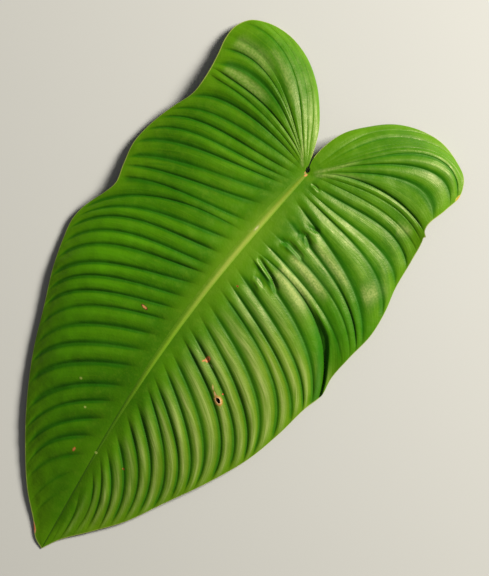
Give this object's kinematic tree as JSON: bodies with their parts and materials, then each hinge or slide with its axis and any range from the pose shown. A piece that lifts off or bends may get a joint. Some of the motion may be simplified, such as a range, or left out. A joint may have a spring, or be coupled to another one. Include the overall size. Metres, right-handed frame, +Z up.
{
  "type": "philodendron leaf",
  "caption": "Heart-shaped leaf blade with rounded basal lobes, sunken curving side veins, a pale midrib and a short cut stalk stub, as picked and lying on its underside.",
  "frame": {"origin": "middle of the leaf's footprint on the surface it lies on", "axes": "+Y from the tip toward the stalk and lobes, +Z up out of the leaf's top side"},
  "size_m": [0.2806, 0.5094, 0.0391],
  "materials": {
    "leaf_blade": "satin living leaf, mid green above with a pale yellow-green midrib, paler and matt beneath"
  },
  "bodies": {
    "root": {"leaf": "leaf_blade"}
  },
  "joints": []
}
